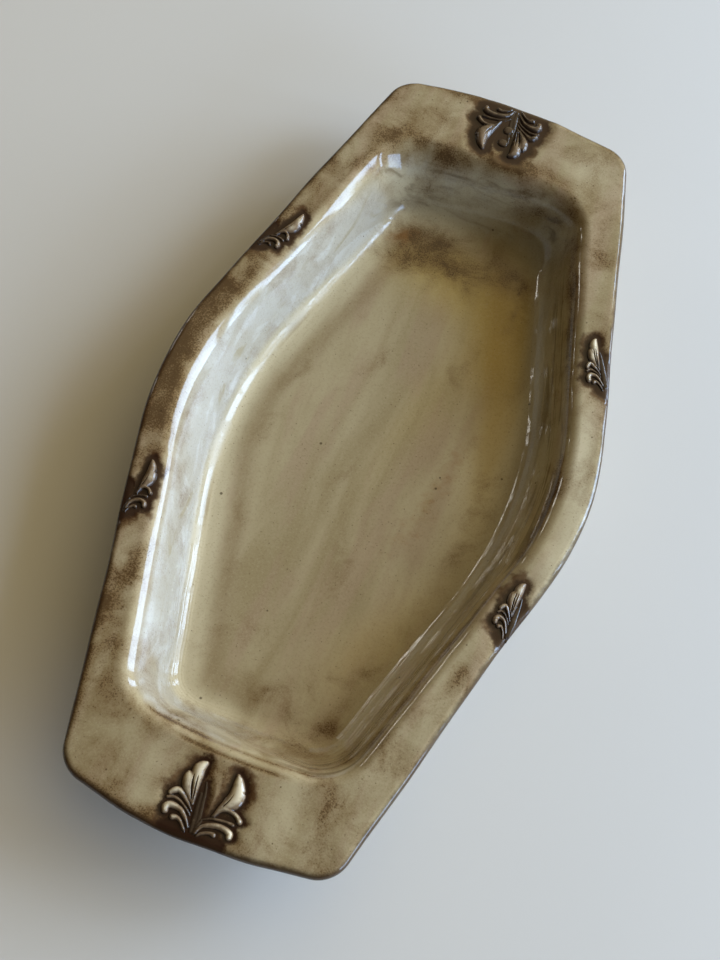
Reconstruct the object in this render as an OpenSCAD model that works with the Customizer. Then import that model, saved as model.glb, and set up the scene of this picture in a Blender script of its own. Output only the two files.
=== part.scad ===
// Boat-shaped serving plate: one draped clay slab with leaf sprigs set into its rim.
// Millimetres. The origin is the middle of the flat base, +Y runs along the length and +Z is up.

/* [Plate] */
// Overall length across the two bowed ends
plate_length = 360; // [330:1:390]
// Overall width across the two side bends
plate_width = 188; // [176:1:204]
// Overall height to the top of the rim
plate_height = 37; // [32:0.5:42]
// Thickness of the rolled slab
slab_t = 6; // [5:0.25:7]
// Width across the outer sides of the end corners
end_width = 116; // [108:1:124]
// How far an end corner falls back behind the middle of its end
end_fall = 4.8; // [3.6:0.2:6.4]
// Plan radius of the end corners
corner_r = 14; // [11:0.5:17]
// Plan radius of the side bends
side_r = 134; // [120:1:148]

/* [Well] */
// Rim width at the middle of an end
end_rim_w = 38; // [36:0.5:42]
// Rim width at a side bend
side_rim_w = 15; // [13:0.5:17]
// Rim width beside an end corner
corner_rim_w = 10; // [8.5:0.5:12]
// Plan radius of the mouth's corners
mouth_corner_r = 20; // [17:0.5:23]
// Plan distance that the wall runs in at the ends
end_run = 13; // [11:0.5:16]
// Plan distance that the wall runs in at the side bends
side_run = 14; // [12:0.5:17]
// Plan distance that the wall runs in at the corners
corner_run = 8.5; // [7:0.5:10]
// Plan radius of the floor's corners
floor_corner_r = 17; // [15:0.5:20]
// Distance over which the rim rolls into the wall
roll = 6; // [5:0.25:7]
// Distance over which the wall sweeps into the floor
sweep_in = 8; // [6:0.5:10]

/* [Leaves] */
// Length of an end leaf from its foot to its tip
leaf_length = 28; // [25:0.5:30]
// Reach of an end leaf's lobes from the middle line of its pair
leaf_reach = 15; // [13:0.5:17]
// Length of a side leaf
side_leaf_length = 25.5; // [22:0.5:28]
// Reach of a side leaf's lobes
side_leaf_reach = 8.25; // [7:0.25:9]
// Distance of a back side leaf from the middle of the plate
back_leaf_y = 59; // [54:1:66]
// Distance of a front side leaf from the middle of the plate
front_leaf_y = 69; // [64:1:74]
// How much farther out than that each left leaf stands, and nearer each right one
leaf_stagger = 4.5; // [0:0.5:6]
// Inward lean of a side leaf, in degrees
leaf_lean = 8; // [4:1:11]
// Depth of the seats pressed into the rim
seat_depth = 1.2; // [0.9:0.1:1.5]
// Thickness of the backing that joins a leaf's ridges
backing_t = 0.7; // [0.5:0.1:0.8]
// Height of the highest ridge above the rim
leaf_rise = 1.3; // [0.9:0.1:1.8]
// Slip gap between a leaf and the side of its seat
seat_gap = 0.6; // [0.4:0.1:0.9]
// Distance of the outer pellet from the far end
outer_pellet_in = 15; // [14:0.25:16]
// Distance of the inner pellet from the far end
inner_pellet_in = 22.5; // [21.5:0.25:24]
// Radius of the two round pellets
pellet_r = 2.3; // [1.8:0.1:2.5]
// Height of a pellet from the floor of its seat
pellet_h = 1.7; // [1.3:0.1:2.2]

/* [Hidden] */
glaze_colour = [0.62, 0.55, 0.42];
leaf_colour = [0.78, 0.73, 0.62];
pellet_colour = [0.36, 0.25, 0.16];
floor_t = slab_t;
edge_r = slab_t / 2;
mouth_fall = 1.5;
floor_fall = 0.5;
end_fullness = 0.86;
mouth_side_r = side_r - 14;
roll_share = 0.28;
sweep_share = 0.3;
under_roll = 2;
under_roll_share = 0.12;
under_sweep = 5;
under_sweep_share = 0.2;
edge_steps = 3;
roll_steps = 4;
sweep_steps = 5;
// Segments in a side, corner and end arc, in the order of the ring's circles
arc_steps = [10, 7, 6, 7, 10, 7, 6, 7];
wall_depth = plate_height - floor_t;
wall_angle = atan(wall_depth / side_run);
under_shift = slab_t * tan(wall_angle / 2);
// Distance of the foot of a leaf from the edge of the rim
leaf_inset = 1;
side_leaf_inset = 1.4;
middle_seat_w = 9;
middle_seat_end = 1.5;
seat_steps = 3;
// The ridges below are drawn on a leaf this wide and this long
drawn_reach = 15;
drawn_length = 28.2;
ridge_steps = 5;
bead_sides = 8;
cut_over = 2;

// Ridges of a leaf: across, along, half width and height as a share of the highest ridge.
plume = [[2.4, 5.2, 0.6, 0.5], [4.3, 10.2, 0.8, 0.65], [5.9, 15.6, 1, 0.8],
    [7.5, 20.2, 1.8, 1], [8.2, 24.2, 2, 1], [6.3, 27.8, 0.5, 0.75]];
plume_lobe = [[6.4, 15.6, 0.7, 0.7], [9.2, 17.6, 1.3, 0.85], [10.9, 20.1, 1.5, 0.95], [10.4, 22.4, 0.8, 0.75]];
upper_ruffle = [[4.4, 10.6, 0.6, 0.6], [8, 13.3, 0.9, 0.75], [11.6, 14, 1.2, 0.9], [13.9, 13, 0.8, 0.8]];
lower_ruffle = [[4.2, 9.9, 0.5, 0.5], [8, 11.4, 0.7, 0.65], [11, 11.8, 0.8, 0.75], [13.2, 10.9, 0.7, 0.7]];
scroll = [[1.4, 3, 0.6, 0.55], [4.4, 7, 0.9, 0.75], [9, 8.9, 1.1, 0.85], [12.2, 8.4, 1.4, 0.95], [12.9, 6.8, 1.4, 0.95]];
inner_curl = [[2.1, 1.2, 0.5, 0.5], [5.3, 4.1, 0.8, 0.65], [8, 5.1, 1.2, 0.8]];
RIDGES = [plume, plume_lobe, upper_ruffle, lower_ruffle, scroll, inner_curl];
// Circles whose hull is the backing: across, along and radius
BACKING = [[2.2, 2, 1.5], [12.3, 7.8, 2.2], [12.6, 12.5, 2.2], [10.4, 20.4, 2.6], [8.2, 24.4, 2.8], [6.3, 27, 1.2]];
// Circles that carry a seat out through the edge of the rim
END_FOOT = [[1.4, -1.5, 1.6], [9.5, -0.5, 2.2]];
SIDE_FOOT = [[-4, 14, 1.6], [-4, -1.5, 1.6], [9.5, -0.5, 2.2]];

// A ring is [half length, half width, corner x, corner y, corner radius, side radius, z].
function ring(half_l, half_w, corner_out, fall, r, bend_r, z) =
    [half_l, half_w, corner_out - r, half_l - fall - r, r, bend_r, z];
// Radius of the bowed ends: a share of the largest at which an end still touches its corner circles.
function end_radius(k) =
    let (cx = k[2], r = k[4], fall = k[0] - k[3] - r)
    end_fullness * (cx * cx + fall * fall + 2 * r * fall) / (2 * fall);
function grow(k, d) = k + [d, d, 0, 0, d, d, 0];
function drop(k, d) = k - [0, 0, 0, 0, 0, 0, d];
function blend(a, b, t) = a * (1 - t) + b * t;
function curve(a, b, c, t) = blend(blend(a, b, t), blend(b, c, t), t);

// The eight circles of a ring, counter-clockwise from the right-hand side bend.
function circles(k) =
    let (end_r = end_radius(k))
    [[k[1] - k[5], 0, k[5]], [k[2], k[3], k[4]], [0, k[0] - end_r, end_r], [-k[2], k[3], k[4]],
    [k[5] - k[1], 0, k[5]], [-k[2], -k[3], k[4]], [0, end_r - k[0], end_r], [k[2], -k[3], k[4]]];
// Direction of the outward normal of the line that touches two circles in turn.
function touch(a, b) = atan2(b.y - a.y, b.x - a.x) - acos((a[2] - b[2]) / norm([b.x - a.x, b.y - a.y]));
function arc(c, i) =
    let (from = touch(c[(i + 7) % 8], c[i]), to = touch(c[i], c[(i + 1) % 8]))
    let (turn = (to - from + 720) % 360, n = arc_steps[i])
    [for (s = [0:n]) c_point(c[i], from + turn * s / n)];
function c_point(c, angle) = [c.x, c.y] + c[2] * [cos(angle), sin(angle)];
function loop(k) = let (c = circles(k)) [for (i = [0:7]) for (p = arc(c, i)) [p.x, p.y, k[6]]];

rim = ring(plate_length / 2, plate_width / 2, end_width / 2, end_fall, corner_r, side_r, plate_height);
mouth = ring(plate_length / 2 - end_rim_w, plate_width / 2 - side_rim_w, end_width / 2 - corner_rim_w,
    mouth_fall, mouth_corner_r, mouth_side_r, plate_height);
floor_ring = ring(plate_length / 2 - end_rim_w - end_run, plate_width / 2 - side_rim_w - side_run,
    end_width / 2 - corner_rim_w - corner_run, floor_fall, floor_corner_r, mouth_side_r, floor_t);
under_rim = drop(rim, slab_t);
under_mouth = drop(grow(mouth, under_shift), slab_t);
base_ring = drop(grow(floor_ring, under_shift), floor_t);

function steps(a, b, c, n) = [for (s = [0:n]) curve(a, b, c, s / n)];

// The section from the floor up the wall, over the rim's edge and back under to the base.
SECTION = concat(
    steps(grow(floor_ring, -sweep_in), floor_ring, blend(floor_ring, mouth, sweep_share), sweep_steps),
    steps(blend(mouth, floor_ring, roll_share), mouth, grow(mouth, roll), roll_steps),
    steps(grow(rim, -edge_r), rim, drop(rim, edge_r), edge_steps),
    [for (s = [1:edge_steps]) curve(drop(rim, edge_r), under_rim, grow(under_rim, -edge_r), s / edge_steps)],
    steps(grow(under_mouth, under_roll), under_mouth, blend(under_mouth, base_ring, under_roll_share), roll_steps),
    steps(blend(base_ring, under_mouth, under_sweep_share), base_ring, grow(base_ring, -under_sweep), roll_steps));

// Skin through a list of rings, closed by the first and the last of them.
module loft(section) {
    loops = [for (k = section) loop(k)];
    n = len(loops[0]);
    last = len(loops) - 1;
    points = [for (l = loops) for (p = l) p];
    sides = [for (i = [0:last - 1]) for (j = [0:n - 1]) let (a = i * n + j, b = i * n + (j + 1) % n)
        each [[a, b, b + n], [a, b + n, a + n]]];
    top = [for (j = [0:n - 1]) n - 1 - j];
    bottom = [for (j = [0:n - 1]) last * n + j];
    polyhedron(points, concat([top], sides, [bottom]));
}

// Side edge of the rim: the normal's direction and the x at a given y, on the right-hand side.
side_normal = touch(circles(rim)[0], circles(rim)[1]);
function side_x(y) =
    let (c = circles(rim)[0])
    (c.x * cos(side_normal) + c[2] - abs(y) * sin(side_normal)) / cos(side_normal);

// The front and back side leaves' places along one side.
function side_leaf_ys(on_left) =
    let (shift = on_left ? leaf_stagger : -leaf_stagger)
    [-front_leaf_y - shift, back_leaf_y + shift];

// Places what is drawn inward along +Y from the middle of an end, on the floor of the seats.
module on_end(turned) {
    rotate(turned ? 180 : 0) translate([0, -plate_length / 2, plate_height - seat_depth]) children();
}
// Places a leaf drawn across +X and along +Y, with its back on the floor of its seat.
module at_end(turned, flipped) {
    on_end(turned)
        translate([0, leaf_inset, 0])
            mirror([flipped ? 1 : 0, 0, 0])
                scale([leaf_reach / drawn_reach, leaf_length / drawn_length, 1])
                    children();
}
module at_side(on_left, y) {
    tilt = y < 0 ? side_normal : -side_normal;
    mirror([on_left ? 0 : 1, 0, 0])
        translate([side_leaf_inset / cos(side_normal) - side_x(y), y, plate_height - seat_depth])
            rotate(tilt - leaf_lean)
                scale([side_leaf_reach / drawn_reach, side_leaf_length / drawn_length, 1])
                    children();
}

module bead(q) {
    high = q[3] * (seat_depth + leaf_rise);
    translate([q[0], q[1], 0]) {
        cylinder(h = high * 0.55, r = q[2], $fn = bead_sides);
        cylinder(h = high, r = q[2] * 0.5, $fn = bead_sides);
    }
}
function spline(p, t) =
    let (n = len(p) - 1, i = min(floor(t * n), n - 1), f = t * n - i)
    let (a = p[max(i - 1, 0)], b = p[i], c = p[i + 1], d = p[min(i + 2, n)])
    0.5 * (2 * b + (c - a) * f + (2 * a - 5 * b + 4 * c - d) * f * f + (3 * b - a - 3 * c + d) * f * f * f);
module ridge(p) {
    for (s = [0:ridge_steps - 1]) hull() {
        bead(spline(p, s / ridge_steps));
        bead(spline(p, (s + 1) / ridge_steps));
    }
}
module leaf() {
    for (p = RIDGES) ridge(p);
    linear_extrude(backing_t)
        hull() for (c = BACKING) translate([c[0], c[1]]) circle(c[2], $fn = 16);
}

// Outline of a seat: its foot runs out through the rim's edge and the rest follows the backing.
function seat_outline(foot) =
    let (c = [for (q = concat(foot, [for (i = [1:len(BACKING) - 1]) BACKING[i]])) q + [0, 0, seat_gap]])
    let (n = len(c))
    [for (i = [0:n - 1])
        let (from = touch(c[(i + n - 1) % n], c[i]), to = touch(c[i], c[(i + 1) % n]))
        let (turn = (to - from + 720) % 360)
        for (s = [0:seat_steps]) c_point(c[i], from + turn * s / seat_steps)];
module seat(foot) {
    linear_extrude(seat_depth + cut_over) polygon(seat_outline(foot));
}
// Plain seat between the two far leaves, where the pellets sit.
module middle_seat() {
    translate([-middle_seat_w / 2, -cut_over, 0])
        cube([middle_seat_w, cut_over + inner_pellet_in + pellet_r + middle_seat_end, seat_depth + cut_over]);
}

module dish() {
    color(glaze_colour) difference() {
        loft(SECTION);
        for (turned = [false, true]) for (flipped = [false, true]) at_end(turned, flipped) seat(END_FOOT);
        on_end(true) middle_seat();
        for (on_left = [true, false]) for (y = side_leaf_ys(on_left)) at_side(on_left, y) seat(SIDE_FOOT);
    }
}

module near_left_leaf() { color(leaf_colour) at_end(false, true) leaf(); }
module near_right_leaf() { color(leaf_colour) at_end(false, false) leaf(); }
module far_left_leaf() { color(leaf_colour) at_end(true, false) leaf(); }
module far_right_leaf() { color(leaf_colour) at_end(true, true) leaf(); }
module left_front_leaf() { color(leaf_colour) at_side(true, side_leaf_ys(true)[0]) leaf(); }
module left_back_leaf() { color(leaf_colour) at_side(true, side_leaf_ys(true)[1]) leaf(); }
module right_front_leaf() { color(leaf_colour) at_side(false, side_leaf_ys(false)[0]) leaf(); }
module right_back_leaf() { color(leaf_colour) at_side(false, side_leaf_ys(false)[1]) leaf(); }

// A low round pellet of clay, domed on top.
module pellet() {
    rotate_extrude($fn = 48)
        polygon([[0, 0], [pellet_r, 0], [pellet_r, pellet_h * 0.45], [pellet_r * 0.9, pellet_h * 0.7],
            [pellet_r * 0.62, pellet_h * 0.92], [0, pellet_h]]);
}
module outer_pellet() { color(pellet_colour) on_end(true) translate([0, outer_pellet_in, 0]) pellet(); }
module inner_pellet() { color(pellet_colour) on_end(true) translate([0, inner_pellet_in, 0]) pellet(); }

dish();
near_left_leaf();
near_right_leaf();
far_left_leaf();
far_right_leaf();
left_front_leaf();
left_back_leaf();
right_front_leaf();
right_back_leaf();
inner_pellet();
outer_pellet();
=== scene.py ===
"""Looks of a boat-shaped glazed serving plate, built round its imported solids.

Shapes are worked out in millimetres in the plate's own frame, and become metres where a mesh is made.
"""
import math

import bpy
import numpy as np
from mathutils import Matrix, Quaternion, Vector


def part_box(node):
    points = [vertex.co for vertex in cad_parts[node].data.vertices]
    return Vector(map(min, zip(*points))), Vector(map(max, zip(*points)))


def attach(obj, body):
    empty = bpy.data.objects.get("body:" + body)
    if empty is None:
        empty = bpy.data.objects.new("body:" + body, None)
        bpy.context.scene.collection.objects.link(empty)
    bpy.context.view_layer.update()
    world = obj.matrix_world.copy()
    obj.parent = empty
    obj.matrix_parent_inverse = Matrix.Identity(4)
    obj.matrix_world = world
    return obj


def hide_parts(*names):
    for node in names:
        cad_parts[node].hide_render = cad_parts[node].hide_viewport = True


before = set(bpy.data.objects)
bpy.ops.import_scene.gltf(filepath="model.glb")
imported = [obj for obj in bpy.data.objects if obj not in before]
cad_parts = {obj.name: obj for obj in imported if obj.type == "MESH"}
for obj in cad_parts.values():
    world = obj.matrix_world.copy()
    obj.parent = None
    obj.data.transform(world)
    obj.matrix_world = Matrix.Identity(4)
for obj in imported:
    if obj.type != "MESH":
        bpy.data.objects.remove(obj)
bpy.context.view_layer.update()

MM = 0.001

# Plate sizes; the overall ones come from the frame
_, dish_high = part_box("dish")
HALF_LENGTH = dish_high.y / MM
HALF_WIDTH = dish_high.x / MM
RIM_Z = dish_high.z / MM
SLAB = 6.0
EDGE_R = SLAB / 2
DENT = 0.5
PRESSED = 0.75
END_HALF_WIDTH = 58.0
END_FALL = 4.8
CORNER_R = 14.0
SIDE_R = 134.0
END_RIM = 38.0
SIDE_RIM = 15.5
CORNER_RIM = 10.0
MOUTH_FALL = 1.5
MOUTH_CORNER_R = 20.0
MOUTH_TIGHTER = 14.0
FLOOR_ROUNDER = 60
MOUTH_SIDE_R = SIDE_R - MOUTH_TIGHTER
FLOOR_SIDE_R = MOUTH_SIDE_R + FLOOR_ROUNDER
END_RUN = 13.0
SIDE_RUN = 14.0
CORNER_RUN = 8.5
FLOOR_FALL = 0.5
FLOOR_CORNER_R = 17.0
END_FULLNESS = 0.86
# Bend at the mouth and sweep at the foot of the wall, each as reach and share of the wall, on either side
LEFT_ROLL = (6.2, 0.3)
FAR_LEFT_ROLL = (6.4, 0.68)
RIGHT_ROLL = (5.5, 0.28)
LEFT_SWEEP = (6.0, 0.26)
RIGHT_SWEEP = (12.5, 0.44)
UNDER_ROLL = 2.0
UNDER_ROLL_SHARE = 0.12
UNDER_SWEEP = 5.0
UNDER_SWEEP_SHARE = 0.2
UNDER_SHIFT = SLAB * math.tan(math.atan2(RIM_Z - SLAB, SIDE_RUN) / 2)
# Where the far left bend takes over along the length, and how far the two halves reach into one another
FAR_LEFT_FADE = (88, 120)
HALVES_FADE = 30
# Size of the loops beside the poles of the floor and of the base, as a share of the ring
FLOOR_MIDDLE = 0.04
BASE_MIDDLE = 0.05
# Creases on the near rim, by their distance out from the bend
FIRST_CREASE = 0.4
SECOND_CREASE = 4.4

# Columns of the dish: the length of a stretch of the rim, and the space between its columns
SIDE_ARC = (66, 3)
CORNER_ARC = (22, 1.5)
END_ARC = (92, 2.2)
LONG_STRAIGHT = (133, 3.2)
SHORT_STRAIGHT = (6, 2)
# Samples of a stretch on which columns are spread, and the share over which close columns open out
SPREAD_SAMPLES = 400
SPREAD_FADE = 0.05
# Where leaves stand: shares of an end arc, and of the long straights, counter-clockwise from the back right
BESIDE_END_LEAVES = (0.32, 0.68)
BESIDE_SIDE_LEAVES = ((0.11, 0.44), (0.5, 0.83), (0.05, 0.38), (0.68, 0.99))
# Every how many columns the mouth is sampled, for distances on the floor
BEND_STEP = 4

# Leaf sizes
SEAT_DEPTH = 1.2
LEAF_RISE = 1.3
LEAF_HEIGHT = SEAT_DEPTH + LEAF_RISE
LEAF_INSET = 1.0
SIDE_LEAF_INSET = 1.4
SIDE_LEAF_REACH = 0.55
SIDE_LEAF_LENGTH = 0.904
SIDE_LEAF_WIDTH = 0.78
LEAF_LEAN = math.radians(8)
LEAF_CELL = 0.16
# Height field of a sprig: its ends across and along, its size, and points on the curves of its ridges
SPRIG_ACROSS = (-1.9, 16.6)
SPRIG_ALONG = (0.1, 28.9)
SPRIG_WIDTH = 18.5
SPRIG_LENGTH = 28.8
SEAT_BEADS = 24
RIDGE_BEADS = 80
GROOVE_BEADS = 60
GROOVED_FROM = 0.2
FOOT_LOWERED = 0.9
FOOT_FADE = (2.6, 0.4)
HOLLOW_CELLS = 5
HOLLOW_DEPTH = 0.3
SOLE = 0.4
# Seats: how deep they are pressed, and how far out they and the dents fade
LEAF_SUNK = 0.45
SIDE_PRESSED = 0.5
SIDE_MARGIN = 0.6
FAR_MARGIN = 1.6
JOIN_POWER = 4
LEAF_MIDDLE = 14
LEAF_NEARBY = 34
BETWEEN_FAR_LEAVES_R = 3.6
ENDS_FROM = 115
FAR_SEAT_FADE = 5.5
SEAT_FADE = 3.2
SEAT_FLAT = 0.2
DENT_REACH = 8
FAR_AWAY = 50.0
# Pellets
OUTER_PELLET_IN = 15.0
INNER_PELLET_IN = 22.5
PELLET_R = 2.3
PELLET_H = 1.7
PELLET_SUNK = 0.9
PELLET_SIDES = 48
PELLET_ROWS = 12
# Ends of the plate: name, direction in towards the middle, paleness of the ridges and margin of plain ground;
# the paleness is partly glaze and partly painted shade, darker on the far pair
END_LEAVES = (("near", 1, 1.0, 0), ("far", -1, 0.42, FAR_MARGIN))
# Side leaves: name, side, place of the foot along the plate, and paleness of the ridges, which is partly
# glaze and partly painted shade, darker on the left, away from the window
SIDE_LEAVES = (("left_front_leaf", -1, -73.5, 0.62), ("left_back_leaf", -1, 63.5, 0.72),
               ("right_front_leaf", 1, -64.5, 0.72), ("right_back_leaf", 1, 54.5, 0.9))

# Ridges of a sprig: across, along, half width in millimetres, and height as a share of the highest ridge
SPLIT_SPRIG = {
    "tip_lobe": [[3.9, 12.1, 0.8, 0.44], [4.9, 16, 1.4, 0.62], [5.7, 19.4, 2.0, 0.82], [6.5, 22.4, 2.7, 0.96],
                 [6.8, 24.6, 2.7, 1], [6.2, 26.2, 2.1, 0.95], [5.2, 27.4, 1.2, 0.8]],
    "side_lobe": [[4.8, 12.6, 0.8, 0.42], [6.6, 15, 1.6, 0.62], [8.2, 17.4, 2.4, 0.82], [8.8, 19.4, 2.6, 0.9],
                  [9.2, 20.9, 2.1, 0.86], [9.6, 21.9, 1.2, 0.72]],
    "upper_rib": [[3.2, 9.5, 0.6, 0.34], [5.3, 11.5, 0.85, 0.46], [8.1, 13.6, 1.15, 0.62],
                  [10.4, 14.8, 1.4, 0.78], [12, 14.1, 1.5, 0.84], [13, 12.9, 1.2, 0.78]],
    "fine_rib": [[3.1, 7.9, 0.6, 0.34], [5.7, 9.9, 0.75, 0.44], [8.8, 11.4, 0.85, 0.52],
                 [11.3, 11.8, 0.85, 0.56], [13.3, 11, 0.8, 0.54]],
    "scroll": [[2, 3.8, 0.7, 0.4], [4.1, 6.4, 1.0, 0.54], [6.4, 8.2, 1.2, 0.66], [8.8, 8.9, 1.4, 0.76],
               [11.2, 8.8, 1.6, 0.86], [12.4, 7.6, 1.75, 0.9], [12.2, 6.2, 1.6, 0.84]],
    "curl": [[2.1, 1, 0.6, 0.36], [3.3, 2.8, 0.8, 0.46], [5.3, 4.7, 0.9, 0.56], [7.1, 5.4, 1.1, 0.64],
             [8.6, 5, 1.35, 0.72]],
    "stem": [[0.3, 2.5, 1.2, 0.27], [1, 7.5, 1.4, 0.29], [1.8, 12.2, 1.3, 0.27], [2.4, 16.5, 1.0, 0.25]],
    "outer_stem": [[-1, 3, 1.1, 0.25], [-0.5, 8, 1.3, 0.27], [0.4, 13, 1.2, 0.26], [1.2, 17.5, 1.0, 0.24],
                   [2.2, 21, 0.7, 0.22]],
}
BROAD_SPRIG = {
    "plume": [[5.4, 11, 0.8, 0.42], [6.4, 13.8, 1.5, 0.58], [8.3, 16.2, 2.6, 0.8], [9.9, 18.8, 3.5, 0.95],
              [10.2, 20.8, 3.4, 1], [9.6, 23.4, 2.8, 1], [8.8, 25.8, 2.0, 0.94], [7.8, 27.6, 1.0, 0.78]],
    "plume_rib": [[4.6, 10.6, 0.5, 0.36], [5.6, 13.4, 0.6, 0.44], [6.4, 16.2, 0.6, 0.44],
                  [6.6, 18.6, 0.5, 0.4]],
    "arch": [[4.9, 10.7, 0.6, 0.36], [6, 12.7, 0.8, 0.48], [7.3, 14, 0.9, 0.56], [9.3, 14.6, 1.0, 0.64],
             [11.8, 14.4, 1.1, 0.7], [13.5, 13.6, 1.2, 0.76], [14.8, 12.5, 1.4, 0.82]],
    "lower_rib": [[1.6, 7.9, 0.6, 0.28], [4.3, 9.4, 0.75, 0.38], [6.9, 10.1, 0.8, 0.46],
                  [10.1, 10.6, 0.85, 0.52], [13, 10.6, 1.0, 0.56]],
    "scroll": [[1.4, 2.7, 0.7, 0.4], [2.3, 5.1, 0.9, 0.5], [3.9, 6.6, 1.1, 0.6], [6.3, 7.6, 1.3, 0.68],
               [8.9, 8.1, 1.4, 0.76], [11.3, 7.9, 1.5, 0.82], [13.2, 7.1, 1.6, 0.88], [13.5, 6, 1.5, 0.84]],
    "curl": [[1.9, 1, 0.6, 0.34], [3, 2.9, 0.75, 0.42], [4.5, 4, 0.85, 0.5], [6.4, 4.7, 0.95, 0.54],
             [8, 4.6, 1.2, 0.6]],
    "stem": [[0.7, 1.4, 0.9, 0.28], [1, 4.5, 1.0, 0.3], [1.6, 7.5, 0.8, 0.28]],
}
# Grooves cut into a sprig's lobes: across, along, half width and depth as a share of the highest ridge
SPLIT_GROOVES = [
    [[7.5, 21.8, 0.2, 0.1], [6.9, 18.8, 0.3, 0.35], [6.1, 16.3, 0.3, 0.35], [5, 13.6, 0.25, 0.3]],
    [[5.9, 22, 0.2, 0.08], [5.5, 19.4, 0.26, 0.24], [4.9, 16.4, 0.26, 0.28], [4.3, 13.4, 0.2, 0.2]]]
BROAD_GROOVES = [
    [[13.2, 23, 0.8, 0.4], [12.4, 22.7, 0.5, 0.15], [11.6, 22.4, 0.3, 0.04]],
    [[7.2, 15.4, 0.22, 0.22], [8.3, 17.6, 0.24, 0.2], [8.9, 19.6, 0.2, 0.1], [9.1, 21, 0.15, 0.04]]]
# Plain ground that carries a seat out through the edge of the rim: across, along and radius
END_GROUND = [[1.4, -1.5, 2], [6, 0.5, 3.2], [10.5, 1.2, 2.2]]
SIDE_GROUND = [[-3, 13, 2], [-3, 0, 2], [2, 1, 2], [5, 1.5, 1.4]]

# Camera of the photograph
CAMERA_AT = (0.0744, -0.2419, 0.5542)
CAMERA_TARGET = (-0.0013, -0.0077, 0)
CAMERA_ROLL = math.radians(4.73)
CAMERA_LENS = 52.5


def smooth(low, high, values):
    """Smooth step: 0 at low, 1 at high, with level ends; low may be the larger of the two."""
    share = np.clip((values - low) / (high - low), 0, 1)
    return share * share * (3 - 2 * share)


def bell(values, middle, width):
    """Bell curve of height 1 about a middle."""
    return np.exp(-((values - middle) / width) ** 2)


def spline(points, count):
    """Catmull-Rom curve through the points, at evenly spaced parameters."""
    knots = np.asarray(points, float)
    last = len(knots) - 1
    along = np.linspace(0, last, count)
    first = np.minimum(along.astype(int), last - 1)
    share = (along - first)[:, None]
    before, start = knots[np.maximum(first - 1, 0)], knots[first]
    end, after = knots[first + 1], knots[np.minimum(first + 2, last)]
    return 0.5 * (2 * start + (end - before) * share
                  + (2 * before - 5 * start + 4 * end - after) * share ** 2
                  + (3 * start - before - 3 * end + after) * share ** 3)


# Rings: half length, half width, corner x, corner y, corner radius, side radius and z


def ring(half_l, half_w, corner_out, fall, r, bend_r, z):
    """A ring of eight tangent arcs, given by how far out its corners stand and how far they fall back."""
    return np.array([half_l, half_w, corner_out - r, half_l - fall - r, r, bend_r, z])


GROWN = np.array([1, 1, 0, 0, 1, 1, 0.0])
LOWERED = np.array([0, 0, 0, 0, 0, 0, -1.0])


def blend(a, b, share):
    """The ring that lies a share of the way from a to b."""
    return a * (1 - share) + b * share


def curve(a, b, c, count):
    """Rings along the quadratic curve that leaves a towards b and ends at c."""
    share = np.linspace(0, 1, count)[:, None]
    return a * (1 - share) ** 2 + b * 2 * share * (1 - share) + c * share ** 2


def spread(length, coarse, dense=None, fine=0.6):
    """Shares along a stretch, spaced coarsely except near the dense span, where they are fine."""
    shares = np.linspace(0, 1, SPREAD_SAMPLES)
    density = np.full_like(shares, 1 / coarse)
    if dense:
        middle, half = (dense[0] + dense[1]) / 2, (dense[1] - dense[0]) / 2
        density += (1 / fine - 1 / coarse) * smooth(half + SPREAD_FADE, half, abs(shares - middle))
    total = np.cumsum(density)
    count = int(round(length * density.mean()))
    return np.interp((np.arange(count) + 0.5) / count, total / total[-1], shares)


def columns():
    """Where the columns of the dish stand: the number of the arc or straight, and the share along it.

    With them comes whether each is on an arc. Columns are close together beside the leaves, on the end arcs
    and on the long straights.
    """
    side_arc, corner_arc, short = spread(*SIDE_ARC), spread(*CORNER_ARC), spread(*SHORT_STRAIGHT)
    end_arc = spread(*END_ARC, BESIDE_END_LEAVES)
    arcs = [side_arc, corner_arc, end_arc, corner_arc] * 2
    right_back, left_back, left_front, right_front = (
        spread(*LONG_STRAIGHT, beside) for beside in BESIDE_SIDE_LEAVES)
    straights = [right_back, short, short, left_back, left_front, short, short, right_front]
    parts = [part for pair in zip(arcs, straights) for part in pair]
    place = np.concatenate([np.full(len(part), n // 2) for n, part in enumerate(parts)])
    on_arc = np.concatenate([np.full(len(part), n % 2 == 0) for n, part in enumerate(parts)])
    return place, np.concatenate(parts), on_arc


def ring_circles(rings):
    """Centres and radii of the eight circles of each ring, counter-clockwise from the right-hand side bend.

    The radius of the bowed ends is a share of the largest at which an end still touches its corner circles.
    """
    half_l, half_w, cx, cy, r, bend_r, _ = rings.T
    fall = half_l - cy - r
    end_r = END_FULLNESS * (cx * cx + fall * fall + 2 * r * fall) / (2 * fall)
    nought = np.zeros_like(half_l)
    x = np.stack([half_w - bend_r, cx, nought, -cx, bend_r - half_w, -cx, nought, cx], 1)
    y = np.stack([nought, cy, half_l - end_r, cy, nought, -cy, end_r - half_l, -cy], 1)
    return x, y, np.stack([bend_r, r, end_r, r, bend_r, r, end_r, r], 1)


def touch_angles(x, y, r):
    """Directions of the outward normals of the lines that touch each circle and the next."""
    dx, dy = np.roll(x, -1, 1) - x, np.roll(y, -1, 1) - y
    return np.arctan2(dy, dx) - np.arccos((r - np.roll(r, -1, 1)) / np.hypot(dx, dy))


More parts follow.
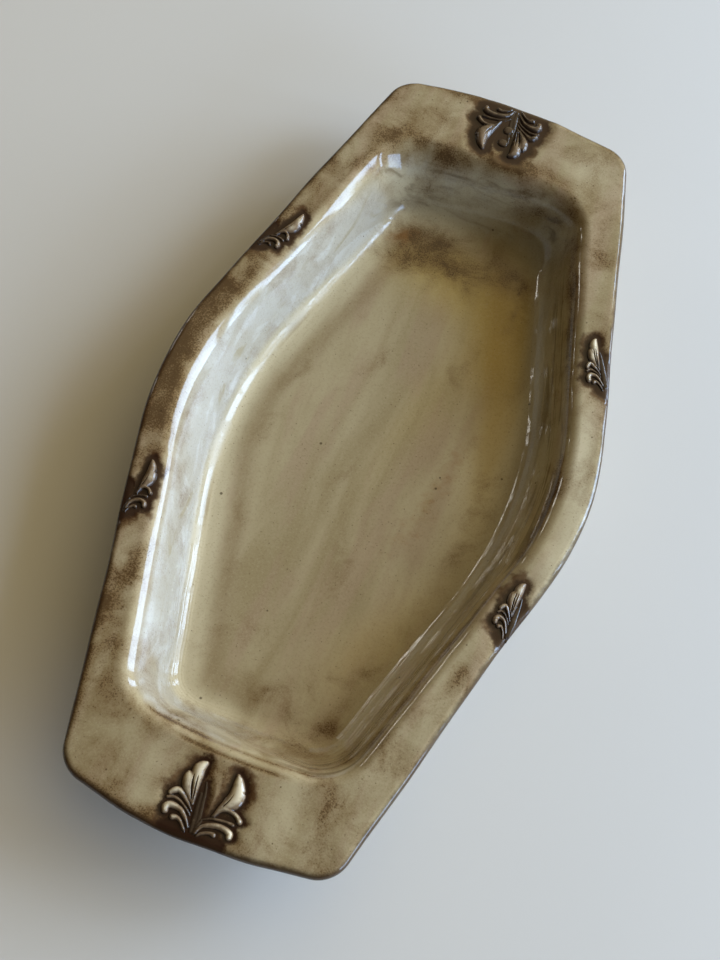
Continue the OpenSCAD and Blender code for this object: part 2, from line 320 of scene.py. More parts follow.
def round_circles(x, y, r, place, share, on_arc):
    """Points round the hull of circles, and the outward directions there.

    On an arc the direction turns about one centre. On a straight it is fixed and the centre and radius blend.
    """
    touch = touch_angles(x, y, r)
    start = np.roll(touch, 1, 1)
    turn = (touch - start) % (2 * np.pi)
    angle = np.where(on_arc, start[:, place] + turn[:, place] * share, touch[:, place])
    slide = np.where(on_arc, 0, share)
    x, y, r = (v[:, place] * (1 - slide) + np.roll(v, -1, 1)[:, place] * slide for v in (x, y, r))
    return x + r * np.cos(angle), y + r * np.sin(angle), angle


rim = ring(HALF_LENGTH, HALF_WIDTH, END_HALF_WIDTH, END_FALL, CORNER_R, SIDE_R, RIM_Z)
mouth = ring(HALF_LENGTH - END_RIM, HALF_WIDTH - SIDE_RIM, END_HALF_WIDTH - CORNER_RIM, MOUTH_FALL,
             MOUTH_CORNER_R, MOUTH_SIDE_R, RIM_Z)
well_floor = ring(HALF_LENGTH - END_RIM - END_RUN, HALF_WIDTH - SIDE_RIM - SIDE_RUN,
                  END_HALF_WIDTH - CORNER_RIM - CORNER_RUN, FLOOR_FALL, FLOOR_CORNER_R, FLOOR_SIDE_R, SLAB)
under_rim = rim + LOWERED * SLAB
under_mouth = mouth + GROWN * UNDER_SHIFT + LOWERED * SLAB
base = well_floor + GROWN * UNDER_SHIFT + LOWERED * SLAB


def dish_section(roll_size, sweep_size):
    """Rings of the dish's section, from the floor up the wall, over the edge and back under to the base.

    With them come the rows of the mesh, as places between the rings, and for each row its zone and the share
    by which its points draw in towards the middle. Zones are 0 to 1 on the floor, 1 to 2 on the wall, 2 to 3
    on the rim, 3 to 4 under the rim, and 4 to 5 below the well.
    """
    floor_in = well_floor - GROWN * sweep_size[0]
    edge_out = rim + LOWERED * EDGE_R
    base_in = base - GROWN * UNDER_SWEEP
    sweep = curve(floor_in, well_floor, blend(well_floor, mouth, sweep_size[1]), 17)
    roll = curve(blend(mouth, well_floor, roll_size[1]), mouth, mouth + GROWN * roll_size[0], 17)
    edge = curve(rim - GROWN * EDGE_R, rim, edge_out, 7)
    under_edge = curve(edge_out, under_rim, under_rim - GROWN * EDGE_R, 5)
    under_roll = curve(under_mouth + GROWN * UNDER_ROLL, under_mouth,
                       blend(under_mouth, base, UNDER_ROLL_SHARE), 5)
    under_sweep = curve(blend(base, under_mouth, UNDER_SWEEP_SHARE), base, base_in, 6)
    # Each stretch: its rings, how many rows it gets, its zones, and how far its points draw in
    stretches = [
        (np.stack([floor_in, floor_in]), 24, (0, 0.8), (FLOOR_MIDDLE, 1)),
        (sweep, 17, (0.8, 1.2), (1, 1)),
        (np.stack([sweep[-1], roll[0]]), 7, (1.2, 1.8), (1, 1)),
        (roll, 17, (1.8, 2.2), (1, 1)),
        (np.stack([roll[-1], edge[0]]), 40, (2.2, 2.8), (1, 1)),
        (edge, 7, (2.8, 3), (1, 1)),
        (under_edge, 5, (3, 3.2), (1, 1)),
        (np.stack([under_edge[-1], under_roll[0]]), 5, (3.2, 3.8), (1, 1)),
        (under_roll, 5, (3.8, 4.1), (1, 1)),
        (np.stack([under_roll[-1], under_sweep[0]]), 4, (4.1, 4.6), (1, 1)),
        (under_sweep, 6, (4.6, 4.8), (1, 1)),
        (np.stack([base_in, base_in]), 5, (4.8, 5), (1, BASE_MIDDLE)),
    ]
    rings = np.concatenate([part[0] for part in stretches])
    starts = np.cumsum([0] + [len(part[0]) for part in stretches])
    rows = np.concatenate([start + np.linspace(0, len(part[0]) - 1, part[1])[1:]
                           for start, part in zip(starts, stretches)])
    zone = np.concatenate([np.linspace(*part[2], part[1])[1:] for part in stretches])
    draw_in = np.concatenate([np.linspace(*part[3], part[1])[1:] for part in stretches])
    return rings, rows, zone, draw_in


def closed_skin(loops):
    """Points and faces of a closed surface through a stack of loops, with a pole in the middle of each end.

    Faces point along the step from loop to loop crossed with the step round a loop.
    """
    rows, cols, _ = loops.shape
    points = np.concatenate([loops.reshape(-1, 3), loops[:1].mean(1), loops[-1:].mean(1)])
    here = np.arange(rows * cols).reshape(rows, cols)
    beside = np.roll(here, -1, 1)
    quads = np.stack([here[:-1], here[1:], beside[1:], beside[:-1]], -1).reshape(-1, 4)
    first, last = np.full(cols, rows * cols), np.full(cols, rows * cols + 1)
    first_fan = np.stack([first, here[0], beside[0]], -1)
    last_fan = np.stack([last, beside[-1], here[-1]], -1)
    fans = np.concatenate([first_fan, last_fan])
    return points, quads.tolist() + fans.tolist()


def add_piece(node, points, faces, masks, material):
    """Makes the piece that stands for a CAD node, from points in millimetres and a value at each per mask."""
    mesh = bpy.data.meshes.new(node + "_glazed")
    mesh.from_pydata((points * MM).tolist(), [], faces)
    for name, values in masks.items():
        mesh.attributes.new(name, "FLOAT", "POINT").data.foreach_set("value", values.astype(np.float32))
    mesh.polygons.foreach_set("use_smooth", np.ones(len(mesh.polygons), bool))
    mesh.materials.append(material)
    piece = bpy.data.objects.new(node + "_glazed", mesh)
    bpy.context.scene.collection.objects.link(piece)
    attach(piece, "root")
    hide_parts(node)
    return piece


# Leaves: where each stands on the rim, in plan


def leaf_places():
    """Each leaf's name with its sprig, origin, directions across and along, scales, ground and seat.

    Its wear and shade is how pale its ridges show: partly glaze run off them, partly painted shade.
    """
    x, y, r = ring_circles(rim[None])
    normal = touch_angles(x, y, r)[0, 0]
    places = {}
    for end, turn, wear_and_shade, margin in END_LEAVES:
        for side, out in (("left", -1), ("right", 1)):
            places[f"{end}_{side}_leaf"] = dict(
                split=out * turn < 0, origin=np.array([0, turn * (LEAF_INSET - HALF_LENGTH)]),
                across=np.array([out, 0.0]), along=np.array([0, float(turn)]), scale=(1, 1, 1),
                ground=END_GROUND, wear_and_shade=wear_and_shade, pressed=PRESSED, margin=margin)
    for name, out, stand, wear_and_shade in SIDE_LEAVES:
        tilt = (normal if stand < 0 else -normal) - LEAF_LEAN
        edge = (x[0, 0] * math.cos(normal) + r[0, 0] - abs(stand) * math.sin(normal)) / math.cos(normal)
        flip = np.array([-out, 1.0])
        places[name] = dict(
            split=out > 0, origin=np.array([SIDE_LEAF_INSET / math.cos(normal) - edge, stand]) * flip,
            across=np.array([math.cos(tilt), math.sin(tilt)]) * flip,
            along=np.array([-math.sin(tilt), math.cos(tilt)]) * flip,
            scale=(SIDE_LEAF_REACH, SIDE_LEAF_LENGTH, SIDE_LEAF_WIDTH), ground=SIDE_GROUND, wear_and_shade=wear_and_shade,
            pressed=SIDE_PRESSED + DENT, margin=SIDE_MARGIN)
    return places


LEAVES = leaf_places()


def to_size(leaf, drawn, count):
    """Curve through drawn points [across, along, half width, ...], scaled to the leaf's own size."""
    reach, length, width = leaf["scale"]
    beads = spline(drawn, count)
    beads[:, :3] *= (reach, length, width)
    return beads


def on_plate(leaf, across, along):
    """Plan places on the plate of points given across and along a leaf."""
    return [leaf["origin"][n] + across * leaf["across"][n] + along * leaf["along"][n] for n in (0, 1)]


def leaf_distance(leaf, x, y):
    """Plan distance in millimetres from points to the nearest ridge or plain ground of a leaf."""
    ridges = SPLIT_SPRIG if leaf["split"] else BROAD_SPRIG
    curves = [*ridges.values(), leaf["ground"]]
    beads = np.concatenate([to_size(leaf, points, SEAT_BEADS)[:, :3] for points in curves])
    bead_x, bead_y = on_plate(leaf, beads[:, 0], beads[:, 1])
    return (np.hypot(x[:, None] - bead_x, y[:, None] - bead_y) - beads[:, 2]).min(1)


def seat_distance(x, y):
    """Plan distance to the nearest leaf, counting the ground between the two far leaves as part of them."""
    nearest = np.full(x.shape, FAR_AWAY)
    for leaf in LEAVES.values():
        middle = leaf["origin"] + LEAF_MIDDLE * leaf["along"]
        close = np.hypot(x - middle[0], y - middle[1]) < LEAF_NEARBY
        margin = leaf["margin"]
        nearest[close] = np.minimum(nearest[close], leaf_distance(leaf, x[close], y[close]) - margin)
    between = np.hypot(x, np.maximum(HALF_LENGTH - INNER_PELLET_IN - y, 0)) - BETWEEN_FAR_LEAVES_R
    return np.minimum(nearest, np.where(y > 0, between, FAR_AWAY))


# Dish


def blots(x, y, places):
    """Sum of soft oval blots, each given as x, y, half length, half width, turn in degrees and strength."""
    total = np.zeros_like(x)
    for cx, cy, length, width, turn, strength in places:
        c, s = math.cos(math.radians(turn)), math.sin(math.radians(turn))
        along, across = (x - cx) * c + (y - cy) * s, (y - cy) * c - (x - cx) * s
        total += strength * np.exp(-(along / length) ** 2 - (across / width) ** 2)
    return total


# Brown wash on the rim and the floor, olive clouds, cream pools and rust, each as blots takes them
RIM_BLOTS = [
    (-33, 144, 11, 5, 15, 0.5), (-46, 145, 10, 5, 40, 0.45), (-19, 139, 9, 4, -5, 0.45),
    (3, 147, 13, 5, 0, 0.6), (17, 149, 8, 4, 10, 0.45), (-52, 128, 12, 4, 62, 0.4),
    (32, 147, 9, 4, 0, 0.25), (44, -149, 12, 7, 60, 0.3), (-52, -146, 16, 4, 70, 0.15),
    (-40, -162, 14, 5, -15, 0.1), (14, -176, 16, 3, 0, 0.3), (-16, -175, 9, 3, 0, 0.4),
    (-20, 176, 14, 3, 0, 0.4), (70, -84, 12, 3, 72, 0.4), (57, 128, 14, 4, 84, 0.35),
    (-76, 46, 10, 4, 106, 0.2), (30, -170, 20, 5, 0, 0.2), (52, -118, 10, 4, 70, 0.3),
    (88, 18, 16, 3, 95, 0.25), (-66, -102, 18, 5, 72, 0.5), (-30, -141, 16, 3, -4, 0.3),
    (62, 112, 16, 5, 110, 0.3), (-36, 160, 18, 8, 0, 0.25), (36, 166, 20, 6, 0, 0.15),
    (76, 66, 16, 4, 108, 0.25)]
FLOOR_BLOTS = [
    (-28, 113, 8, 6, 40, 0.3), (-10, 117, 14, 5, 0, 0.45), (-6, -8, 11, 3, 50, 0.3),
    (12, -105, 14, 5, 15, 0.35), (30, -116, 10, 6, 20, 0.6), (-6, 102, 28, 9, 8, 0.44),
    (3, -113, 10, 4, 0, 0.3), (26, 108, 12, 5, -20, 0.35), (49, -9, 5, 3, 80, 0.3),
    (47, 10, 6, 3, 100, 0.3), (50, -28, 6, 3, 80, 0.3), (42, 29, 7, 4, 60, 0.25),
    (-20, 40, 30, 5, 60, 0.14), (8, -50, 26, 6, 110, 0.14), (20, 60, 24, 6, 80, 0.16),
    (-16, -90, 16, 5, 30, 0.16)]
OLIVE_BLOTS = [
    (10, 98, 40, 20, 0, 0.7), (38, 66, 32, 14, 110, 0.6), (-14, 106, 20, 9, 10, 0.4),
    (33, 78, 26, 10, 100, 0.3), (34, -74, 36, 16, 60, 0.4), (18, 44, 40, 12, 80, 0.3),
    (4, 10, 60, 8, 84, 0.14), (46, 24, 30, 8, 96, 0.4)]
CREAM_BLOTS = [
    (84, 20, 26, 6, 98, 0.75), (89, -22, 30, 6, 82, 0.8), (-22, -131, 14, 7, 0, 0.6),
    (84, -50, 16, 6, 106, 0.4), (40, 160, 20, 13, 0, 0.5), (-6, -158, 18, 7, 0, 0.2),
    (40, -165, 16, 7, 0, 0.25), (74, -86, 14, 5, 108, 0.25), (-36, -152, 14, 8, 0, 0.15),
    (-30, 163, 18, 6, 0, 0.15), (8, 152, 14, 4, 0, 0.1)]
RUST_BLOTS = [
    (-28, 113, 8, 5, 40, 0.9), (34, 10, 26, 6, 75, 0.3), (28, -24, 22, 6, 70, 0.22),
    (-12, 104, 12, 4, 20, 0.3)]
FLOOR_CREAM_BLOTS = [
    (50, 34, 36, 10, 100, 0.8), (45, 4, 32, 10, 90, 0.75), (34, -66, 30, 11, 66, 0.35),
    (-28, -30, 50, 12, 86, 0.12)]


def dish_masks(x, y, zone, from_edge, from_bend, seat):
    """Where each stain and tint of the glaze lies, from 0 to 1, and the distances that the glaze needs.

    A stain is a sum of soft steps, bells and blots of the place, of the zone, and of the distances to the
    edge, to the bend at the mouth, which is below 0 inside it, and to the nearest leaf.
    """
    top = smooth(3.05, 2.95, zone)
    rim_top = smooth(1.9, 2.15, zone) * top
    left = smooth(12, -18, x)
    right = 1 - left
    far = smooth(112, 132, y)
    near = smooth(-112, -130, y)
    side = (1 - far) * (1 - near)
    on_floor = smooth(1.1, 0.85, zone)
    wall = smooth(0.95, 1.25, zone) * smooth(2.1, 1.8, zone)
    low_left = rim_top * left * smooth(-152, -134, y)
    # Brown all over the rim, along its edge, on the left bend and low on the left
    brown = rim_top * (0.25 + 0.06 * near + 0.06 * far - 0.05 * right * side)
    brown += 0.5 * np.exp(-from_edge / 2.4) * rim_top * (0.5 + 0.5 * left)
    patch = smooth(0.0, 3.0, from_bend) * smooth(-48, -26, y) * smooth(58, 34, y)
    brown += rim_top * left * side * (0.5 * patch + 0.16 * smooth(3, 7, from_bend))
    brown += low_left * smooth(-104, -116, y) * smooth(3.5, 10, from_bend) * 0.34
    # Brown lines along the mouth, on the right, at the far end, and in the two near creases
    brown += bell(from_bend, -0.9, 2.0) * right * side * 0.62 + bell(from_bend, 0, 3) * far * 0.3
    brown += bell(from_bend, FIRST_CREASE, 0.9) * near * smooth(40, 30, abs(x)) * 0.6
    brown += bell(from_bend, SECOND_CREASE, 0.8) * near * smooth(26, 16, abs(x - 3)) * 0.6
    # Brown on the wall and at its foot
    on_wall = 0.16 * left + 0.24 * right + 0.08 * far + 0.2 * near
    brown += wall * on_wall + bell(zone, 1.86, 0.12) * left * side * 0.12
    brown += bell(zone, 1.0, 0.12) * near * 0.42 + on_floor * smooth(-50, -110, y) * 0.05
    # Brown blots, shade round the leaves, the underside and the floor
    brown += blots(x, y, RIM_BLOTS) * rim_top + blots(x, y, FLOOR_BLOTS) * on_floor
    brown += 0.16 * smooth(9, 2, seat) * rim_top + 0.25 * (1 - top) + 0.26 * smooth(84, 108, y) * on_floor
    # Brown along the foot of the right wall on the floor: partly stain, partly painted shadow of the right
    # wall
    brown += on_floor * right * side * bell(from_bend, -22, 8) * 0.12
    brown += on_floor * left * side * bell(from_bend, -29, 6) * 0.14
    # Cream pools on the rim and the floor and along the foot of the left wall, and cream on the far wall that
    # is partly glaze and partly painted light
    cream = blots(x, y, CREAM_BLOTS) * smooth(1.2, 1.6, zone) * top
    cream += blots(x, y, FLOOR_CREAM_BLOTS) * on_floor
    cream += smooth(1.2, 1.0, zone) * left * bell(from_bend, -17, 6.8) * 0.9 + far * wall * 0.7
    cream += low_left * smooth(-40, -60, y) * smooth(7, 1, from_bend) * 0.75
    # Pale grey on the left wall, which faces the window, and round the far and near-left corners, partly
    # glaze and partly painted reflection of the window; olive on the floor and the right wall
    pale = smooth(0.9, 1.05, zone) * smooth(2.06, 1.86, zone)
    corners = np.maximum(0.6 * far * smooth(50, -20, x), near * smooth(8, -18, x))
    pale *= np.maximum(left * side, 0.9 * corners)
    olive = blots(x, y, OLIVE_BLOTS) * on_floor + wall * right * side * 0.3 + far * wall * 0.15
    # Ripples at the foot of the wall, on the near left, on the right and most in the near right corner
    ripple = 0.45 * smooth(-30, -90, y) * left + 0.2 * right * side
    ripple += 0.8 * smooth(20, 36, x) * smooth(-62, -92, y)
    ripple *= smooth(0.8, 0.9, zone) * smooth(1.6, 1.25, zone)
    return {
        "brown": np.clip(brown, 0, 1),
        "cream": np.clip(cream, 0, 1),
        "olive": np.clip(olive, 0, 1),
        "pale": np.clip(pale, 0, 1),
        "seat": np.where(zone > 1.9, seat, FAR_AWAY),
        "edge": np.where(zone < 3.2, from_edge, FAR_AWAY),
        "zone": zone,
        "ripple": ripple,
        "rust": np.clip(blots(x, y, RUST_BLOTS) * on_floor, 0, 1),
        "far_wall": far * smooth(0.9, 1.15, zone) * smooth(2.2, 1.9, zone),
        "foot_line": on_floor * left * side * bell(from_bend, -27, 4),
        "satin": smooth(0.8, 0.95, zone) * smooth(1.5, 1.25, zone) * left * side,
    }


def hand_wave(angle, size=0.4):
    """Slow uneven wave round the plate, as a hand-cut edge has, from four sines of the direction."""
    return size * (np.sin(3 * angle + 0.6) + 0.7 * np.sin(7 * angle + 2.1) + 0.5 * np.sin(12 * angle + 4.0)
                   + 0.3 * np.sin(23 * angle + 1.1))


def between_rows(values, rows):
    """Values at places between the rows of an array, blended from the two nearest rows."""
    first = np.minimum(rows.astype(int), len(values) - 2)
    share = (rows - first)[:, None]
    return values[first] * (1 - share) + values[first + 1] * share


def section_points(roll_size, sweep_size, places):
    """Points of the dish by row and column, the outward directions there, and the zone of each row."""
    rings, rows, zone, draw_in = dish_section(roll_size, sweep_size)
    x, y, angle = round_circles(*ring_circles(rings), *places)
    z = np.repeat(rings[:, 6:7], x.shape[1], 1)
    x, y, z, angle = (between_rows(values, rows) for values in (x, y, z, angle))
    return np.stack([x * draw_in[:, None], y * draw_in[:, None], z, angle]), zone


def round_plate(x, y):
    """Direction from the middle of the plate, with its length and width taken as equal."""
    return np.arctan2(y / HALF_LENGTH, x / HALF_WIDTH)


def rim_lift(x, y):
    """How far the uneven rim stands above or below its level, in millimetres."""
    return hand_wave(round_plate(x, y) + 1.3, 0.22)


def make_dish(material):
    """The draped slab: rings of the section on shared columns, with pressed seats, creases and a hand's wave.

    The left half bends more softly at the mouth, most of all in its far corner, and the right half sweeps
    further into the floor.
    """
    places = columns()
    left_half, zone = section_points(LEFT_ROLL, LEFT_SWEEP, places)
    far_left, _ = section_points(FAR_LEFT_ROLL, LEFT_SWEEP, places)
    right_half, _ = section_points(RIGHT_ROLL, RIGHT_SWEEP, places)
    back = smooth(*FAR_LEFT_FADE, left_half[1])
    left_half = left_half * (1 - back) + far_left * back
    lean = smooth(-HALVES_FADE, HALVES_FADE, left_half[0])
    x, y, z, angle = left_half * (1 - lean) + right_half * lean
    zone = np.repeat(zone[:, None], x.shape[1], 1)
    edge_x, edge_y, _ = round_circles(*ring_circles(rim[None]), *places)
    bend_x, bend_y, _ = round_circles(*ring_circles(mouth[None]), *places)
    from_edge = np.hypot(x - edge_x, y - edge_y)
    from_bend = np.hypot(x - bend_x, y - bend_y) * np.where(zone < 2, -1, 1)
    inner = zone[:, 0] < 0.9
    bend_points = zip(bend_x[0, ::BEND_STEP], bend_y[0, ::BEND_STEP])
    from_bend[inner] = -np.min([np.hypot(x[inner] - px, y[inner] - py) for px, py in bend_points], 0)
    seat = seat_distance(x.ravel(), y.ravel()).reshape(x.shape)
    masks = dish_masks(x, y, zone, from_edge, from_bend, seat)
    edge_share = smooth(1.9, 3.0, zone) * smooth(4.2, 3.2, zone)
    out = hand_wave(round_plate(x, y)) * edge_share
    depth = np.where(abs(y) > ENDS_FROM, PRESSED, SIDE_PRESSED)
    seat_fade = np.where(y > ENDS_FROM, FAR_SEAT_FADE, SEAT_FADE)
    pressed = depth * smooth(seat_fade, SEAT_FLAT, seat) * smooth(2.0, 2.2, zone)
    pressed += DENT * bell(seat, 0, DENT_REACH) * smooth(125, 110, abs(y)) * smooth(1.6, 2.0, zone)
    near = smooth(-110, -130, y)
    creased = 0.35 * bell(from_bend, FIRST_CREASE, 0.8) * near
    creased += 0.3 * bell(from_bend, SECOND_CREASE, 0.7) * near * smooth(26, 16, abs(x - 3))
    upper = np.clip((z - RIM_Z + EDGE_R) / EDGE_R, 0, 1) * smooth(1.8, 2.1, zone)
    lift = rim_lift(x, y) * smooth(1.4, 2.6, zone) * smooth(4.6, 3.6, zone)
    x, y = x + out * np.cos(angle), y + out * np.sin(angle)
    z = z + lift - (pressed + creased * smooth(3, 2.6, zone)) * upper
    points, faces = closed_skin(np.stack([x, y, z], -1))
    masks = {name: np.append(values.ravel(), [values[0].mean(), values[-1].mean()])
             for name, values in masks.items()}
    return add_piece("dish", points, faces, masks, material)


# Leaves and pellets


def relief_of(across, along, beads):
    """Height at each point of the nearest bead of a curve, times a dome of the distance in half widths."""
    away = np.hypot(across[..., None] - beads[:, 0], along[..., None] - beads[:, 1]) / beads[:, 2]
    nearest = away.argmin(-1)
    share = np.take_along_axis(away, nearest[..., None], -1)[..., 0]
    return beads[nearest, 3] * np.clip(1 - share ** 2, 0, 1) ** 0.6


def blurred(values, cells):
    """Mean of a grid over a square of cells on each side of a point."""
    for axis in (0, 1):
        values = sum(np.roll(values, shift, axis) for shift in range(-cells, cells + 1)) / (2 * cells + 1)
    return values


def sprig_height(leaf, across, along):
    """Height of a sprig above the floor of its seat, in millimetres, over a grid.

    Ridges are rounded beads along curves, joined by a soft maximum. Grooves are taken off their tops, and
    beside the ridges the surface lies sunk below the seat. The foot of a leaf on the ends runs out flat.
    """
    ridges, grooves = (SPLIT_SPRIG, SPLIT_GROOVES) if leaf["split"] else (BROAD_SPRIG, BROAD_GROOVES)
    total = np.zeros_like(across)
    for points in ridges.values():
        total += relief_of(across, along, to_size(leaf, points, RIDGE_BEADS)) ** JOIN_POWER
    height = total ** (1 / JOIN_POWER)
    for points in grooves:
        height -= relief_of(across, along, to_size(leaf, points, GROOVE_BEADS)) * (height > GROOVED_FROM)
    lowered = FOOT_LOWERED * smooth(*FOOT_FADE, along) * (leaf["scale"][0] == 1)
    return LEAF_HEIGHT * height - LEAF_SUNK - lowered


def make_leaf(name, material):
    """A leaf sprig as a height field on a fine grid over its seat, closed by a sole sunk into the slab.

    Its relief mask is high on the lobes and ridges and low in the grooves and beside them.
    """
    leaf = LEAVES[name]
    reach, length, _ = leaf["scale"]
    cols, rows = int(SPRIG_WIDTH * reach / LEAF_CELL), int(SPRIG_LENGTH * length / LEAF_CELL)
    along, across = np.meshgrid(np.linspace(*SPRIG_ALONG, rows) * length,
                                np.linspace(*SPRIG_ACROSS, cols) * reach, indexing="ij")
    height = sprig_height(leaf, across, along)
    shown = np.clip(height, 0, None)
    around = blurred(shown, HOLLOW_CELLS)
    hollow = np.clip((around - shown) / HOLLOW_DEPTH, 0, 1)
    # The relief is scaled by each leaf's paleness, which is partly painted shade on the far and left-hand
    # leaves
    relief = np.clip(shown / LEAF_HEIGHT / 0.8, 0, 1) * (1 - 0.8 * hollow) * leaf["wear_and_shade"]
    x, y = on_plate(leaf, across, along)
    level = RIM_Z - leaf["pressed"]
    top = np.stack([x, y, level + rim_lift(x, y) + height], -1)
    sole = top[:, [-1, 0]] - (0, 0, SOLE)
    loops = np.concatenate([top, sole], 1)
    relief = np.concatenate([relief, np.zeros((rows, 2))], 1)
    if leaf["across"][0] * leaf["along"][1] - leaf["across"][1] * leaf["along"][0] > 0:
        loops, relief = loops[:, ::-1], relief[:, ::-1]
    points, faces = closed_skin(loops)
    masks = {"relief": np.append(relief.ravel(), [0, 0])}
    return add_piece(name, points, faces, masks, material)


def make_pellet(name, from_end, phase, material):
    """A low domed pellet of clay, a little out of round, turned from a quarter-ellipse profile."""
    turn = np.linspace(0, 2 * np.pi, PELLET_SIDES, endpoint=False)
    rise = np.linspace(0, 0.94 * np.pi / 2, PELLET_ROWS)
    out = PELLET_R * np.concatenate([[0.5, 1], np.cos(rise) ** 0.7])
    high = np.concatenate([[-0.4, -0.3], (PELLET_H - PELLET_SUNK) * np.sin(rise)])
    wobble = 1 + 0.05 * np.sin(2 * turn + phase) + 0.03 * np.sin(3 * turn + 2 * phase)
    x = out[:, None] * wobble * np.cos(turn)
    y = HALF_LENGTH - from_end + out[:, None] * wobble * np.sin(turn)
    z = RIM_Z - PRESSED + rim_lift(x, y) + np.repeat(high[:, None], len(turn), 1)
    points, faces = closed_skin(np.stack([x, y, z], -1)[:, ::-1])
    relief = np.append(np.repeat(smooth(0, PELLET_H, high), len(turn)), [0, 1])
    return add_piece(name, points, faces, {"relief": relief}, material)


# Materials


def colour(red, green, blue):
    """A colour written as it looks, 0 to 255, as linear light."""
    looks = np.array([red, green, blue]) / 255
    light = np.where(looks <= 0.04045, looks / 12.92, ((looks + 0.055) / 1.055) ** 2.4)
    return (*light.tolist(), 1.0)


# Colours of the dish, in the order in which they go over one another
BEIGE = colour(147, 133, 102)
LIGHT_BEIGE = colour(168, 156, 127)
PINKISH_BEIGE = colour(155, 134, 112)
# Pale grey and white of the left wall and corners: partly glaze, partly painted reflection of the window
WALL_GREY_AND_SHEEN = colour(163, 159, 148)
WALL_WHITE_AND_SHEEN = colour(176, 174, 166)
WALL_BEIGE = colour(150, 141, 119)
CREAM = colour(187, 177, 150)
FOOT_LINE_BROWN = colour(126, 107, 79)
OLIVE = colour(170, 147, 84)
RUST = colour(138, 92, 46)
DARK_SAND = colour(112, 92, 64)
LIGHT_SAND = colour(182, 172, 146)
# Brown of the washes, also used for the painted shadow on the floor by the right wall
WASH_AND_SHADOW_BROWN = colour(106, 79, 45)
GRANULE_BROWN = colour(64, 44, 24)
RUN_BROWN = colour(84, 62, 34)
BAND_BROWN = colour(74, 56, 27)
BAND_STRAW = colour(152, 134, 92)
HALO_BROWN = colour(76, 50, 28)
RING_BROWN = colour(47, 28, 17)
EDGE_BROWN = colour(58, 42, 28)
FINE_SPECK = colour(78, 58, 34)
GRAIN_SPECK = colour(72, 48, 24)
LARGE_SPECK = colour(58, 42, 24)
BARE_CLAY = colour(150, 126, 96)
# Colours of the leaves and of the pellets, from the grooves to the ridges
LEAF_COLOURS = (colour(50, 37, 27), colour(120, 101, 80), colour(198, 187, 162))
PELLET_COLOURS = (colour(46, 35, 26), colour(70, 54, 40), colour(84, 66, 48))
TABLE_COLOURS = (colour(201, 201, 201), colour(206, 206, 206))
GLAZE_IOR = 1.45
GLAZE_SHEEN = (0.8, 0.88, 1, 1)
DISH_ROUGHNESS = 0.09
DISH_BUMP = 0.001
LEAF_ROUGHNESS = 0.14
LEAF_BUMP = 0.00008


class Tree:
    """Adds nodes to one node tree. Inputs are values, or sockets to link."""

    def __init__(self, tree):
        self.tree = tree

    def add(self, kind, inputs, output=0, **settings):
        """A new node's output, with its settings made before its inputs."""
        node = self.tree.nodes.new(kind)
        for name, value in settings.items():
            setattr(node, name, value)
        for name, value in inputs.items():
            socket = node.inputs[name]
            if isinstance(value, bpy.types.NodeSocket):
                self.tree.links.new(value, socket)
            else:
                socket.default_value = value
        return node.outputs[output]

    def math(self, operation, a, b=0.0, c=0.0):
        """One operation on up to three values."""
        return self.add("ShaderNodeMath", {0: a, 1: b, 2: c}, operation=operation)

    def step(self, value, low, high):
        """Smooth step of a value between low and high."""
        ends = {"Value": value, "From Min": low, "From Max": high}
        return self.add("ShaderNodeMapRange", ends, interpolation_type="SMOOTHSTEP")

    def mix(self, share, a, b):
        """Colour a, going over to b by the share."""
        return self.add("ShaderNodeMix", {0: share, 6: a, 7: b}, output=2, data_type="RGBA")

    def tinted(self, look, mask, strength, tint):
        """The look so far, going over to a tint by a mask times a strength."""
        return self.mix(self.math("MULTIPLY", mask, strength), look, tint)

    def noise(self, coords, scale, detail=3.0, rough=0.55, distortion=0.0):
        """Cloudy noise about a half."""
        inputs = {"Vector": coords, "Scale": scale, "Detail": detail, "Roughness": rough}
        return self.add("ShaderNodeTexNoise", {**inputs, "Distortion": distortion})

    def stretched(self, coords, scale):
        """Coordinates scaled by a different amount each way."""
        return self.add("ShaderNodeMapping", {"Vector": coords, "Scale": scale})

    def attribute(self, name):
        """A mask that the piece carries."""
        return self.add("ShaderNodeAttribute", {}, output="Fac", attribute_name=name)

    def group(self, tree, inputs, output=0):
        """An output of a node group placed in this tree."""
        return self.add("ShaderNodeGroup", inputs, output, node_tree=tree)

    def end(self, shader, kind):
        """Links a shader to the surface of the tree's output node."""
        self.tree.links.new(shader, self.tree.nodes.new(kind).inputs["Surface"])


def new_group(name, inputs, outputs):
    """A shader node group with a vector input, the given value inputs and value outputs."""
    tree = bpy.data.node_groups.new(name, "ShaderNodeTree")
    tree.interface.new_socket("Vector", in_out="INPUT", socket_type="NodeSocketVector")
    for socket, value in inputs.items():
        tree.interface.new_socket(socket, in_out="INPUT", socket_type="NodeSocketFloat").default_value = value
    for socket in outputs:
        tree.interface.new_socket(socket, in_out="OUTPUT", socket_type="NodeSocketFloat")
    return Tree(tree), tree.nodes.new("NodeGroupInput").outputs, tree.nodes.new("NodeGroupOutput").inputs


